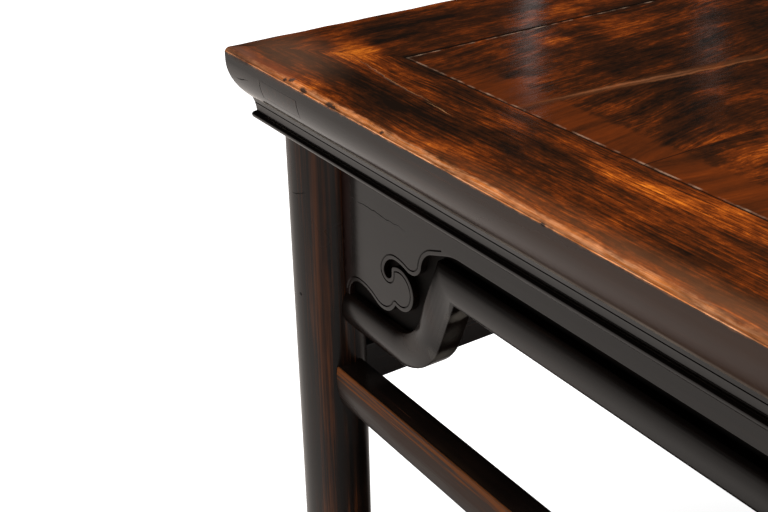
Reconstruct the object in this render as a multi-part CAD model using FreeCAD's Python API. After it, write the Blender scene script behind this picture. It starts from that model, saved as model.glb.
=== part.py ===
import FreeCAD, Part
import math
import os
from FreeCAD import Vector

# Square table with round legs, carved aprons and humped stretchers, in millimetres.
# The origin is on the floor under the middle of the top, +Z is up and the front faces -Y.

# Overall size
table_width = 960.0
table_height = 850.0

# Top frame: side rails run front to back and carry the tenons, end rails run left to right
frame_thickness = 40.0
side_rail_width = 107.0
end_rail_width = 94.0
edge_arris_radius = 5.0
edge_flat_height = 7.0
edge_curve_radius = 37.0
rail_tenon_inset = 54.0
rail_tenon_width = 54.0
rail_tenon_thickness = 14.0
rail_tenon_depth = 13.5

# Panel boards in the frame
panel_thickness = 18.0
panel_drop = 0.4
panel_gap = 0.6
panel_board_count = 3
panel_tongue_length = 9.0
panel_tongue_thickness = 7.0
panel_tongue_depth = 6.0
board_tongue_length = 5.0
board_tongue_thickness = 5.0

# Battens across the back of the panel
batten_spacing = 340.0
batten_width = 38.0
batten_height = 25.0
batten_key_depth = 5.0
batten_key_flare = 3.0
batten_tenon_length = 15.0
batten_tenon_width = 26.0
batten_tenon_thickness = 11.0

# Edge strips under the frame
strip_height = 18.6
strip_width = 20.0
strip_setback = 0.8
strip_hollow_height = 12.0
strip_hollow_depth = 2.4
strip_hollow_sag = 0.5
strip_bead_radius = 3.1

# Legs
leg_diameter = 59.0
leg_inset = 53.3
leg_tenon_size = 14.0
leg_tenon_offset = 11.0
leg_long_tenon_length = 26.0
leg_short_tenon_length = 7.0

# Straight stretchers
bar_drop = 265.5
bar_height = 37.5
bar_depth = 25.0
bar_top_crown = 0.6
bar_bottom_crown = 3.5
bar_tenon_height = 28.0
bar_tenon_thickness = 10.0

# Hump stretchers: low ends, a bend, a slanted step and a raised run between mitred corners
hump_face_inset = 47.5
hump_depth = 23.5
hump_height = 28.5
hump_crown = 3.5
hump_low_drop = 195.5
hump_rise = 82.5
hump_bend_radius = 32.0
hump_bend_from_leg = 102.1
hump_slope = 68.5
hump_tenon_height = 18.0
hump_tenon_thickness = 10.0

# Aprons with a sunk ground around a cloud head
apron_face_inset = 50.5
apron_thickness = 20.0
apron_relief = 6.5
apron_tongue_thickness = 8.0
apron_tongue_setback = 8.0
apron_tongue_depth = 6.0

# Cloud head: the scroll is the large disc, and the other curves are set out from it
scroll_from_leg = 108.7
scroll_rise = 37.5
scroll_radius = 17.7
eye_back = 16.0
eye_rise = 8.5
eye_radius = 5.2
hook_radius = 3.3
hood_back = 5.0
hood_radius = 16.6
brow_radius = 39.0
throat_ahead = 13.5
throat_radius = 15.0
lobe_back = 24.0
lobe_rise = 9.9
lobe_radius = 20.0
crest_back = 32.0
crest_rise = 18.3
ground_end_radius = 16.0
arch_back = 0.7
arch_drop = 17.5
arch_radius = 19.6
eave_rise = 10.0
eave_slope = 20.0
eave_radius = 40.0

# Pins, whittled to flats
pin_flats = 6
corner_pin_diameter = 7.0
corner_pin_inset = 92.0
corner_pin_length = 32.0
strip_pin_diameter = 4.0
strip_pin_grip = 14.0
strip_pins_per_side = 3
strip_pin_spacing = 270.0

# Fits
fit_clearance = 0.15
scribe_clearance = 0.2
end_clearance = 1.0
pin_clearance = 0.05
tenon_crossing_gap = 1.7

# Levels and places that follow from the sizes
half_width = table_width / 2
leg_radius = leg_diameter / 2
leg_place = half_width - leg_inset
frame_bottom = table_height - frame_thickness
strip_bottom = frame_bottom - strip_height
hump_low_top = table_height - hump_low_drop
hump_high_top = hump_low_top + hump_rise
hump_back_inset = hump_face_inset + hump_depth
hump_middle_inset = hump_face_inset + hump_depth / 2
apron_back_inset = apron_face_inset + apron_thickness
apron_tongue_front = apron_face_inset + apron_tongue_setback
apron_tongue_back = apron_tongue_front + apron_tongue_thickness
bar_middle = table_height - bar_drop - bar_height / 2
hump_tenon_middle = hump_low_top - hump_height / 2
opening_x = half_width - side_rail_width
opening_y = half_width - end_rail_width
edge_curve_top = table_height - edge_arris_radius - edge_flat_height
edge_curve_drop = edge_curve_top - frame_bottom
edge_inset = edge_curve_radius - math.sqrt(edge_curve_radius ** 2 - edge_curve_drop ** 2)
strip_face_inset = edge_inset + strip_setback
strip_back_inset = strip_face_inset + strip_width


def box(x_range, y_range, z_range):
    corner = Vector(x_range[0], y_range[0], z_range[0])
    length = x_range[1] - x_range[0]
    width = y_range[1] - y_range[0]
    height = z_range[1] - z_range[0]
    return Part.makeBox(length, width, height, corner)


def around(middle, size, margin=0.0):
    return (middle - size / 2 - margin, middle + size / 2 + margin)


def line(start, end):
    return Part.makeLine(start, end)


def side_point(along, inset_from_front, height):
    return Vector(along, inset_from_front - half_width, height)


def quarter_turn(shape, turns):
    turned = shape.copy()
    turned.rotate(Vector(0, 0, 0), Vector(0, 0, 1), 90 * turns)
    return turned


def mirrored(shape, across_x, across_y):
    result = shape.copy()
    if across_x:
        result = result.mirror(Vector(0, 0, 0), Vector(1, 0, 0))
    if across_y:
        result = result.mirror(Vector(0, 0, 0), Vector(0, 1, 0))
    return result


def at_both_ends(shape):
    return [shape, mirrored(shape, True, False)]


def at_corners(shape):
    return [mirrored(shape, x, y) for x in (False, True) for y in (False, True)]


def prism(plan_points, z_range):
    points = [Vector(x, y, z_range[0]) for x, y in plan_points]
    outline = Part.makePolygon(points + points[:1])
    return Part.Face(outline).extrude(Vector(0, 0, z_range[1] - z_range[0]))


def whittled_pin(foot, width, length):
    """A standing pin with flats, its width measured across them."""
    radius = width / 2 / math.cos(math.pi / pin_flats)
    turns = [2 * math.pi * (index + 0.5) / pin_flats for index in range(pin_flats)]
    points = [foot + Vector(radius * math.cos(turn), radius * math.sin(turn), 0) for turn in turns]
    return Part.Face(Part.makePolygon(points + points[:1])).extrude(Vector(0, 0, length))


def one_solid(shape):
    clean = shape.removeSplitter()
    return clean.Solids[0]


# Planar curves, each in a plane that faces the front


def polar(centre, radius, degrees):
    turn = math.radians(degrees)
    return centre + Vector(radius * math.cos(turn), 0, radius * math.sin(turn))


def bearing(centre, point):
    return math.degrees(math.atan2(point.z - centre.z, point.x - centre.x))


def arc(centre, radius, start, end, turn):
    first = bearing(centre, start)
    swing = (bearing(centre, end) - first) * turn % 360
    middle = polar(centre, radius, first + turn * swing / 2)
    return Part.Arc(start, middle, end).toShape()


def toward(centre, radius, other):
    return centre + (other - centre).normalize() * radius


def crossing(first, first_radius, second, second_radius, side):
    across = second - first
    gap = across.Length
    reach = (first_radius ** 2 - second_radius ** 2 + gap ** 2) / (2 * gap)
    rise = math.sqrt(first_radius ** 2 - reach ** 2)
    ahead = across / gap
    sideways = Vector(-ahead.z, 0, ahead.x)
    return first + ahead * reach + sideways * rise * side


# Top frame


def edge_section():
    """Half of the top's section: from the middle out to the rounded edge."""
    curve_centre = Vector(0, edge_curve_radius - half_width, edge_curve_top)
    arris_centre = Vector(0, edge_arris_radius - half_width, table_height - edge_arris_radius)
    foot = side_point(0, edge_inset, frame_bottom)
    shoulder = side_point(0, 0, edge_curve_top)
    brow = side_point(0, 0, table_height - edge_arris_radius)
    crown = side_point(0, edge_arris_radius, table_height)
    curve_middle = curve_centre + ((foot + shoulder) / 2 - curve_centre).normalize() * edge_curve_radius
    arris_middle = arris_centre + ((brow + crown) / 2 - arris_centre).normalize() * edge_arris_radius
    edges = [
        line(side_point(0, half_width, frame_bottom), foot),
        Part.Arc(foot, curve_middle, shoulder).toShape(),
        line(shoulder, brow),
        Part.Arc(brow, arris_middle, crown).toShape(),
        line(crown, side_point(0, half_width, table_height)),
        line(side_point(0, half_width, table_height), side_point(0, half_width, frame_bottom)),
    ]
    return Part.Face(Part.Wire(edges))


def moulded_square(section):
    """A square form with the section on all four edges, mitred where they meet."""
    run = section.extrude(Vector(table_width, 0, 0))
    run.translate(Vector(-half_width, 0, 0))
    both = run.fuse(quarter_turn(run, 2)).removeSplitter()
    return both.common(quarter_turn(both, 1))


def rail_tenon(margin):
    left = rail_tenon_inset - half_width - margin
    right = rail_tenon_inset + rail_tenon_width - half_width + margin
    middle = table_height - rail_tenon_depth - rail_tenon_thickness / 2
    back = end_rail_width - half_width
    return box((left, right), (-half_width, back), around(middle, rail_tenon_thickness, margin))


def panel_tongue(end_margin, margin):
    middle = table_height - panel_tongue_depth - panel_tongue_thickness / 2
    reach_x = opening_x + panel_tongue_length + end_margin
    reach_y = opening_y + panel_tongue_length + end_margin
    z_range = around(middle, panel_tongue_thickness, margin)
    return box((-reach_x, reach_x), (-reach_y, reach_y), z_range)


def corner_pin(diameter):
    foot = Vector(corner_pin_inset - half_width, end_rail_width / 2 - half_width, frame_bottom)
    return whittled_pin(foot, diameter, corner_pin_length)


def leg_tenon(sign, length, margin, end_margin):
    centre = -leg_place + sign * leg_tenon_offset
    other = -leg_place - sign * leg_tenon_offset
    z_range = (frame_bottom, frame_bottom + length + end_margin)
    return box(around(centre, leg_tenon_size, margin), around(other, leg_tenon_size, margin), z_range)


def leg_tenons(margin=0.0, end_margin=0.0):
    long_tenon = leg_tenon(-1, leg_long_tenon_length, margin, end_margin)
    short_tenon = leg_tenon(1, leg_short_tenon_length, margin, end_margin)
    return [long_tenon, short_tenon]


def batten_tenons(place, margin):
    shoulder = opening_x - scribe_clearance
    end = opening_x + batten_tenon_length + (end_clearance if margin else 0)
    tenon = box(
        (shoulder, end),
        around(place, batten_tenon_width, margin),
        around(batten_middle(), batten_tenon_thickness, margin),
    )
    return at_both_ends(tenon)


def batten_middle():
    panel_bottom = table_height - panel_drop - panel_thickness
    return panel_bottom - (batten_height - batten_key_depth) / 2


def batten_places():
    return (-batten_spacing / 2, batten_spacing / 2)


def make_top_frame():
    form = moulded_square(edge_section())
    z_range = (frame_bottom, table_height)
    # The mitre runs at 45 degrees through the moulded edge, then on to the corner of the panel.
    nose = half_width - edge_inset - edge_arris_radius
    end_plan = prism(
        [
            (-half_width, -half_width),
            (half_width, -half_width),
            (nose, -nose),
            (opening_x, -opening_y),
            (-opening_x, -opening_y),
            (-nose, -nose),
        ],
        z_range,
    )
    side_plan = prism(
        [
            (-half_width, -half_width),
            (-nose, -nose),
            (-opening_x, -opening_y),
            (-opening_x, opening_y),
            (-nose, nose),
            (-half_width, half_width),
        ],
        z_range,
    )
    cuts = [panel_tongue(end_clearance, fit_clearance)]
    for tenon in leg_tenons(fit_clearance, end_clearance):
        cuts += at_corners(tenon)
    cuts += at_corners(corner_pin(corner_pin_diameter + 2 * pin_clearance))
    for turns in range(4):
        cuts += [quarter_turn(pin, turns) for pin in strip_pins(pin_clearance)]

    front = form.common(end_plan)
    front = front.cut(at_both_ends(rail_tenon(fit_clearance))).cut(cuts)

    near_tenon = rail_tenon(0.0)
    far_tenon = mirrored(near_tenon, False, True)
    left = form.common(side_plan.fuse([near_tenon, far_tenon])).cut(cuts)
    for place in batten_places():
        left = left.cut(batten_tenons(place, fit_clearance))
    return {
        "top_rail_front": one_solid(front),
        "top_rail_back": one_solid(mirrored(front, False, True)),
        "top_rail_left": one_solid(left),
        "top_rail_right": one_solid(mirrored(left, True, False)),
    }


# Panel boards and battens


def batten_key(place, margin):
    """The dovetail of a batten, in the underside of the boards."""
    bottom = table_height - panel_drop - panel_thickness
    top = bottom + batten_key_depth + margin
    neck = batten_width / 2 + margin
    flare = neck + batten_key_flare
    start = -opening_x - panel_tongue_length
    points = [
        Vector(start, place - neck, bottom),
        Vector(start, place + neck, bottom),
        Vector(start, place + flare, top),
        Vector(start, place - flare, top),
    ]
    face = Part.Face(Part.makePolygon(points + points[:1]))
    return face.extrude(Vector(-2 * start, 0, 0))


def make_panel_boards():
    top = table_height - panel_drop
    field_x = opening_x - panel_gap
    field_y = opening_y - panel_gap
    field = box((-field_x, field_x), (-field_y, field_y), (top - panel_thickness, top))
    panel = field.fuse(panel_tongue(0.0, 0.0))
    for place in batten_places():
        panel = panel.cut(batten_key(place, fit_clearance))
    reach_x = opening_x + panel_tongue_length
    pitch = 2 * field_x / panel_board_count
    tongue_middle = top - panel_thickness / 2
    boards = {}
    for index in range(panel_board_count):
        left = -reach_x if index == 0 else -field_x + index * pitch
        last = index == panel_board_count - 1
        right = reach_x if last else -field_x + (index + 1) * pitch
        slab = box((left, right), (-half_width, half_width), (frame_bottom, table_height))
        if not last:
            z_range = around(tongue_middle, board_tongue_thickness)
            slab = slab.fuse(box((right, right + board_tongue_length), (-half_width, half_width), z_range))
        if index > 0:
            z_range = around(tongue_middle, board_tongue_thickness, fit_clearance)
            depth = board_tongue_length + end_clearance
            slab = slab.cut(box((left, left + depth), (-half_width, half_width), z_range))
        boards[f"panel_board_{index + 1}"] = one_solid(panel.common(slab))
    return boards


def make_battens():
    battens = {}
    bottom = table_height - panel_drop - panel_thickness
    for name, place in zip(("front", "back"), batten_places()):
        z_range = (bottom - batten_height + batten_key_depth, bottom)
        length = (-opening_x + scribe_clearance, opening_x - scribe_clearance)
        body = box(length, around(place, batten_width), z_range)
        room = box(length, (-half_width, half_width), (frame_bottom, table_height))
        batten = body.fuse([batten_key(place, 0.0).common(room)] + batten_tenons(place, 0.0))
        battens[f"panel_batten_{name}"] = one_solid(batten)
    return battens


# Edge strips


def strip_section():
    """The strip's section: a hollow under the frame's edge, then a bead."""
    neck_height = frame_bottom - strip_hollow_height
    neck_inset = strip_face_inset + strip_hollow_depth
    top = side_point(0, strip_face_inset, frame_bottom)
    neck = side_point(0, neck_inset, neck_height)
    hollow = (top + neck) / 2 + Vector(0, strip_hollow_sag, 0)
    bead_end = side_point(0, neck_inset, strip_bottom)
    bead = side_point(0, neck_inset - strip_bead_radius, (neck_height + strip_bottom) / 2)
    back_bottom = side_point(0, strip_back_inset, strip_bottom)
    back_top = side_point(0, strip_back_inset, frame_bottom)
    edges = [
        Part.Arc(top, hollow, neck).toShape(),
        Part.Arc(neck, bead, bead_end).toShape(),
        line(bead_end, back_bottom),
        line(back_bottom, back_top),
        line(back_top, top),
    ]
    return Part.Face(Part.Wire(edges))


def strip_pins(margin):
    reach = strip_pin_spacing * (strip_pins_per_side - 1) / 2
    inset = (strip_face_inset + strip_hollow_depth + strip_back_inset) / 2
    pins = []
    for index in range(strip_pins_per_side):
        foot = side_point(index * strip_pin_spacing - reach, inset, strip_bottom)
        height = strip_height + strip_pin_grip + (end_clearance if margin else 0)
        pins.append(whittled_pin(foot, strip_pin_diameter + 2 * margin, height))
    return pins


def make_edge_strips():
    run = strip_section().extrude(Vector(table_width, 0, 0))
    run.translate(Vector(-half_width, 0, 0))
    inner = half_width - strip_back_inset
    plan = prism(
        [(-half_width, -half_width), (half_width, -half_width), (inner, -inner), (-inner, -inner)],
        (strip_bottom, frame_bottom),
    )
    strip = run.common(plan).cut(strip_pins(pin_clearance))
    return {
        f"edge_strip_{side}": one_solid(quarter_turn(strip, turns))
        for turns, side in enumerate(("front", "right", "back", "left"))
    }


# Hump stretchers


def hump_corner(drop):
    """The mitred corner of the hump at a depth below its top edge, on the left half."""
    bend_centre = Vector(hump_bend_from_leg - leg_place, 0, hump_low_top + hump_bend_radius)
    bend_end = polar(bend_centre, hump_bend_radius + drop, hump_slope - 90)
    level = hump_high_top - drop
    ahead = (level - bend_end.z) / math.tan(math.radians(hump_slope))
    return bend_centre, bend_end, Vector(bend_end.x + ahead, 0, level)


def hump_line(drop):
    """Edges along the hump from leg to leg, at a depth below its top edge."""
    bend_centre, bend_end, corner = hump_corner(drop)
    bend_start = Vector(bend_centre.x, 0, hump_low_top - drop)
    start = Vector(-leg_place, 0, hump_low_top - drop)
    left = [
        line(start, bend_start),
        arc(bend_centre, hump_bend_radius + drop, bend_start, bend_end, 1),
        line(bend_end, corner),
    ]
    middle = line(corner, mirrored(Part.Vertex(corner), True, False).Point)
    right = [mirrored(edge, True, False) for edge in reversed(left)]
    return left + [middle] + right


def hump_band(top_drop, bottom_drop, inset_range):
    """A flat band that follows the hump between two depths below its top edge."""
    upper = hump_line(top_drop)
    lower = hump_line(bottom_drop)
    near_top = Vector(-leg_place, 0, hump_low_top - top_drop)
    near_bottom = Vector(-leg_place, 0, hump_low_top - bottom_drop)
    near = line(near_top, near_bottom)
    outline = Part.Wire(Part.__sortEdges__(upper + lower + [near, mirrored(near, True, False)]))
    band = Part.Face(outline).extrude(Vector(0, inset_range[1] - inset_range[0], 0))
    band.translate(Vector(0, inset_range[0] - half_width, 0))
    return band


def hump_bar():
    """The crowned section carried along the hump, with mitred corners."""
    spine = hump_line(0.0)
    for edge in spine:
        edge.translate(Vector(0, hump_back_inset - half_width, 0))
    start = -leg_place
    low_bottom = hump_low_top - hump_height
    shoulder_inset = hump_face_inset + hump_crown
    front_top = side_point(start, shoulder_inset, hump_low_top)
    front = side_point(start, hump_face_inset, (hump_low_top + low_bottom) / 2)
    front_bottom = side_point(start, shoulder_inset, low_bottom)
    back_bottom = side_point(start, hump_back_inset, low_bottom)
    back_top = side_point(start, hump_back_inset, hump_low_top)
    section = Part.Wire(
        [
            Part.Arc(front_top, front, front_bottom).toShape(),
            line(front_bottom, back_bottom),
            line(back_bottom, back_top),
            line(back_top, front_top),
        ]
    )
    return Part.Wire(spine).makePipeShell([section], True, False, 1)


def leg_rounds(margin):
    bottom = Vector(-leg_place, -leg_place, 0)
    return at_both_ends(Part.makeCylinder(leg_radius + margin, frame_bottom, bottom))


def stretcher_tenons(inset, thickness, height, level, margin):
    """Tenons that stop short of the ones that enter the leg from the other side."""
    end = inset + thickness / 2 + tenon_crossing_gap - (end_clearance if margin else 0)
    shoulder = leg_inset + leg_radius + scribe_clearance
    tenon = box(
        (end - half_width, shoulder - half_width),
        around(inset - half_width, thickness, margin),
        around(level, height, margin),
    )
    return at_both_ends(tenon)


def hump_tenons(margin):
    return stretcher_tenons(
        hump_middle_inset, hump_tenon_thickness, hump_tenon_height, hump_tenon_middle, margin
    )


def bar_tenons(margin):
    return stretcher_tenons(leg_inset, bar_tenon_thickness, bar_tenon_height, bar_middle, margin)


def make_hump_stretcher():
    stretcher = hump_bar().cut(leg_rounds(scribe_clearance))
    groove = hump_band(
        -end_clearance,
        apron_tongue_depth + end_clearance,
        (apron_tongue_front - fit_clearance, apron_tongue_back + fit_clearance),
    )
    return one_solid(stretcher.cut(groove).fuse(hump_tenons(0.0)))


# Straight stretchers


def make_straight_stretcher():
    top = bar_middle + bar_height / 2
    bottom = bar_middle - bar_height / 2
    face_inset = leg_inset - bar_depth / 2
    back_inset = leg_inset + bar_depth / 2
    ridge_inset = face_inset + bar_top_crown
    under_inset = face_inset + bar_bottom_crown
    section = Part.Wire(
        [
            Part.Arc(
                side_point(-leg_place, ridge_inset, top),
                side_point(-leg_place, face_inset, bar_middle),
                side_point(-leg_place, under_inset, bottom),
            ).toShape(),
            line(side_point(-leg_place, under_inset, bottom), side_point(-leg_place, back_inset, bottom)),
            line(side_point(-leg_place, back_inset, bottom), side_point(-leg_place, back_inset, top)),
            line(side_point(-leg_place, back_inset, top), side_point(-leg_place, ridge_inset, top)),
        ]
    )
    bar = Part.Face(section).extrude(Vector(2 * leg_place, 0, 0))
    return one_solid(bar.cut(leg_rounds(scribe_clearance)).fuse(bar_tenons(0.0)))


# Aprons


def ground_outline():
    """The sunk ground's edge on the left half: below it the ground, above it the raised cloud."""
    scroll = Vector(scroll_from_leg - leg_place, 0, hump_low_top + scroll_rise)
    lobe = Vector(scroll.x - lobe_back, 0, hump_low_top + lobe_rise + lobe_radius)
    crest = Vector(lobe.x - crest_back, 0, hump_low_top + crest_rise)
    lobe_over_crest = lobe.z - crest.z
    crest_radius = (crest_back ** 2 + lobe_over_crest ** 2 - lobe_radius ** 2) / (
        2 * (lobe_radius - lobe_over_crest)
    )
    crest_centre = crest - Vector(0, 0, crest_radius)
    end_centre = crest - Vector(0, 0, ground_end_radius)
    end_start = end_centre - Vector(ground_end_radius, 0, 0)
    lobe_start = toward(lobe, lobe_radius, crest_centre)
    notch = crossing(lobe, lobe_radius, scroll, scroll_radius, -1)

    eye = scroll + Vector(-eye_back, 0, eye_rise)
    hook_x = eye.x + eye_radius + hook_radius
    hook_reach = scroll_radius - hook_radius
    hook = Vector(hook_x, 0, scroll.z + math.sqrt(hook_reach ** 2 - (scroll.x - hook_x) ** 2))
    scroll_end = scroll + (hook - scroll).normalize() * scroll_radius
    hook_end = hook - Vector(hook_radius, 0, 0)
    eye_start = eye + Vector(eye_radius, 0, 0)

    hood_x = scroll.x - hood_back
    hood = Vector(hood_x, 0, eye.z - math.sqrt((hood_radius - eye_radius) ** 2 - (hood_x - eye.x) ** 2))
    eye_end = hood + (eye - hood).normalize() * hood_radius
    crown = hood + Vector(0, 0, hood_radius)
    brow = crown - Vector(0, 0, brow_radius)
    throat_x = scroll.x + throat_ahead
    throat_reach = brow_radius + throat_radius
    throat = Vector(throat_x, 0, brow.z + math.sqrt(throat_reach ** 2 - (throat_x - brow.x) ** 2))
    brow_end = toward(brow, brow_radius, throat)

    corner = hump_corner(0.0)[2]
    arch = corner - Vector(arch_back, 0, arch_drop)
    cusp = crossing(throat, throat_radius, arch, arch_radius, -1)
    arch_end = polar(arch, arch_radius, 90 + eave_slope)
    eave = hump_high_top + eave_rise
    eave_centre_z = eave - eave_radius
    slope = math.radians(eave_slope)
    eave_start_z = eave_centre_z + eave_radius * math.cos(slope)
    eave_start_x = arch_end.x + (eave_start_z - arch_end.z) / math.tan(slope)
    eave_start = Vector(eave_start_x, 0, eave_start_z)
    eave_centre = Vector(eave_start_x + eave_radius * math.sin(slope), 0, eave_centre_z)
    eave_end = eave_centre + Vector(0, 0, eave_radius)

    floor = hump_low_top - hump_height
    low_end = Vector(end_start.x, 0, floor)
    edges = [
        line(low_end, end_start),
        arc(end_centre, ground_end_radius, end_start, crest, -1),
        arc(crest_centre, crest_radius, crest, lobe_start, -1),
        arc(lobe, lobe_radius, lobe_start, notch, 1),
        arc(scroll, scroll_radius, notch, scroll_end, 1),
        arc(hook, hook_radius, scroll_end, hook_end, 1),
        line(hook_end, eye_start),
        arc(eye, eye_radius, eye_start, eye_end, -1),
        arc(hood, hood_radius, eye_end, crown, -1),
        arc(brow, brow_radius, crown, brow_end, -1),
        arc(throat, throat_radius, brow_end, cusp, 1),
        arc(arch, arch_radius, cusp, arch_end, -1),
        line(arch_end, eave_start),
        arc(eave_centre, eave_radius, eave_start, eave_end, -1),
    ]
    return edges, low_end, eave_end


def apron_ground():
    edges, low_end, eave_end = ground_outline()
    other = [mirrored(edge, True, False) for edge in edges]
    eave = line(eave_end, Vector(-eave_end.x, 0, eave_end.z))
    floor = line(low_end, Vector(-low_end.x, 0, low_end.z))
    outline = Part.Wire(Part.__sortEdges__(edges + other + [eave, floor]))
    ground = Part.Face(outline).extrude(Vector(0, apron_relief, 0))
    ground.translate(Vector(0, apron_face_inset - half_width, 0))
    return ground


def board_above_hump(drop, inset_range):
    """A board from the frame down to a depth below the hump's top edge."""
    left = Vector(-leg_place, 0, hump_low_top - drop)
    right = Vector(leg_place, 0, hump_low_top - drop)
    top_left = Vector(-leg_place, 0, frame_bottom)
    top_right = Vector(leg_place, 0, frame_bottom)
    rim = [line(left, top_left), line(top_left, top_right), line(top_right, right)]
    outline = Part.Wire(Part.__sortEdges__(hump_line(drop) + rim))
    board = Part.Face(outline).extrude(Vector(0, inset_range[1] - inset_range[0], 0))
    board.translate(Vector(0, inset_range[0] - half_width, 0))
    return board


def apron_tongue(drop, margin):
    """The thin middle of the apron, which enters the legs and the stretcher's groove."""
    end = apron_tongue_back + tenon_crossing_gap - (end_clearance if margin else 0)
    reach = half_width - end
    tongue = board_above_hump(drop, (apron_tongue_front - margin, apron_tongue_back + margin))
    return tongue.common(box((-reach, reach), (-half_width, half_width), (0, table_height)))


def make_apron():
    board = board_above_hump(-scribe_clearance, (apron_face_inset, apron_back_inset))
    board = board.cut(leg_rounds(scribe_clearance)).cut(apron_ground())
    leg_tongue = apron_tongue(0.0, 0.0)
    leg_stop = leg_place - leg_radius - scribe_clearance
    between_legs = box((-leg_stop, leg_stop), (-half_width, half_width), (0, table_height))
    groove_tongue = apron_tongue(apron_tongue_depth, 0.0).common(between_legs)
    return one_solid(board.fuse([leg_tongue, groove_tongue]))


# Legs


def make_leg():
    leg = Part.makeCylinder(leg_radius, frame_bottom, Vector(-leg_place, -leg_place, 0))
    seat = strip_back_inset + scribe_clearance - half_width
    corner = -half_width
    z_range = (strip_bottom, frame_bottom)
    cuts = [
        box((corner, seat), (corner, 0), z_range),
        box((corner, 0), (corner, seat), z_range),
    ]
    front_slot = apron_tongue(fit_clearance, fit_clearance)
    for shape in [front_slot] + hump_tenons(fit_clearance) + bar_tenons(fit_clearance):
        cuts += [shape, side_to_left(shape)]
    leg = leg.cut(cuts).fuse(leg_tenons())
    return one_solid(leg)


def side_to_left(shape):
    """The same shape on the left side: the mirror image across the corner's diagonal."""
    return shape.mirror(Vector(0, 0, 0), Vector(1, -1, 0))


def make_legs():
    leg = make_leg()
    return {
        "leg_front_left": leg,
        "leg_front_right": mirrored(leg, True, False),
        "leg_back_left": mirrored(leg, False, True),
        "leg_back_right": mirrored(leg, True, True),
    }


# Pins


def make_pins():
    corner_pins = at_corners(corner_pin(corner_pin_diameter))
    side_pins = []
    for turns in range(4):
        side_pins += [quarter_turn(pin, turns) for pin in strip_pins(0.0)]
    return {
        "frame_corner_pins": Part.makeCompound(corner_pins),
        "edge_strip_pins": Part.makeCompound(side_pins),
    }


def four_sides(name, piece):
    sides = ("front", "right", "back", "left")
    return {f"{name}_{side}": quarter_turn(piece, turns) for turns, side in enumerate(sides)}


def main():
    pieces = {}
    pieces.update(make_top_frame())
    pieces.update(make_panel_boards())
    pieces.update(make_battens())
    pieces.update(make_edge_strips())
    pieces.update(make_legs())
    pieces.update(four_sides("apron", make_apron()))
    pieces.update(four_sides("hump_stretcher", make_hump_stretcher()))
    pieces.update(four_sides("straight_stretcher", make_straight_stretcher()))
    pieces.update(make_pins())
    os.makedirs("parts", exist_ok=True)
    for name, shape in pieces.items():
        shape.exportStep(f"parts/{name}.step")
        print(name, len(shape.Solids), shape.isValid(), round(shape.Volume))


main()
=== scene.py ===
import math
from functools import partial

import bpy
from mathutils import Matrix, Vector, kdtree


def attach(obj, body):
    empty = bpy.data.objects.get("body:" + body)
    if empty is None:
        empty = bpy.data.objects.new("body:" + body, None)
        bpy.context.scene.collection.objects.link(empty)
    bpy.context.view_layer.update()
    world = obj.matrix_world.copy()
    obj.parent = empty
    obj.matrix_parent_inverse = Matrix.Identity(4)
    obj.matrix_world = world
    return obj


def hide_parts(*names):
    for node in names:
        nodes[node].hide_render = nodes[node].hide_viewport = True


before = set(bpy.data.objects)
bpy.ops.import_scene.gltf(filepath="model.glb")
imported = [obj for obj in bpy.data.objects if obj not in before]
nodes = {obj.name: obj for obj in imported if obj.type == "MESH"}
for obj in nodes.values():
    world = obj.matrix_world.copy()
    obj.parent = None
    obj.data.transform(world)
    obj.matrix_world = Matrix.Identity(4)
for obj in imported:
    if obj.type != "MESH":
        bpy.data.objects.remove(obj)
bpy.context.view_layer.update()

scene = bpy.context.scene
mm = 0.001
sides = {
    "front": Vector((0, -1, 0)),
    "right": Vector((1, 0, 0)),
    "back": Vector((0, 1, 0)),
    "left": Vector((-1, 0, 0)),
}
smooth = {"interpolation_type": "SMOOTHSTEP"}  # settings that many nodes share
colourMix = {"out": 2, "data_type": "RGBA"}
noiseSpan = {"From Min": 0.3, "From Max": 0.7}  # where most of a noise lies
grainWay = {"across": (0, 0, 0), "along": (0, 0, 90), "upright": (0, 90, 0)}  # degrees
bpy.ops.object.select_all(action="DESELECT")
print("frame loaded:", len(nodes), "pieces")


def hexLinear(code):  # sRGB hex to the linear colour that shaders take
    values = [int(code[i : i + 2], 16) / 255 for i in (0, 2, 4)]
    return [v / 12.92 if v <= 0.04045 else ((v + 0.055) / 1.055) ** 2.4 for v in values] + [1.0]


def addNode(tree, kind, links=None, out=0, stops=None, **settings):  # one node, its settings and what feeds it
    node = tree.nodes.new("ShaderNode" + kind)
    for key, value in settings.items():
        setattr(node, key, value)
    for key, value in (links or {}).items():
        if isinstance(value, bpy.types.NodeSocket):
            tree.links.new(value, node.inputs[key])
        else:
            node.inputs[key].default_value = value
    for index, (place, code) in enumerate(stops or []):
        points = node.color_ramp.elements
        point = points[index] if index < 2 else points.new(place)
        point.position = place
        point.color = hexLinear(code)
    return node.outputs[out]


def newMaterial(name):
    material = bpy.data.materials.new(name)
    material.use_nodes = True
    return material, material.node_tree, material.node_tree.nodes["Principled BSDF"]


def feedShader(tree, shader, colour, rough, bump):  # what every finish of the table gives its shader
    for socket, value in (("Base Color", colour), ("Roughness", rough), ("Normal", bump)):
        tree.links.new(value, shader.inputs[socket])


# Camera at the photograph's place, solved from the edges of the top
cameraSet = {
    "place": (347.29, -877.60, 1137.09),  # mm
    "turn": (62.5601, 0.9755, 56.3301),  # degrees
    "lens": 57.39,
    "sensor": 36,
    "clip": 10,  # mm
}
bpy.ops.object.camera_add(
    location=[v * mm for v in cameraSet["place"]],
    rotation=[math.radians(v) for v in cameraSet["turn"]],
)
camera = bpy.context.object
camera.data.lens = cameraSet["lens"]
camera.data.sensor_width = cameraSet["sensor"]
camera.data.clip_start = cameraSet["clip"] * mm
scene.camera = camera
print("camera placed")

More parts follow.
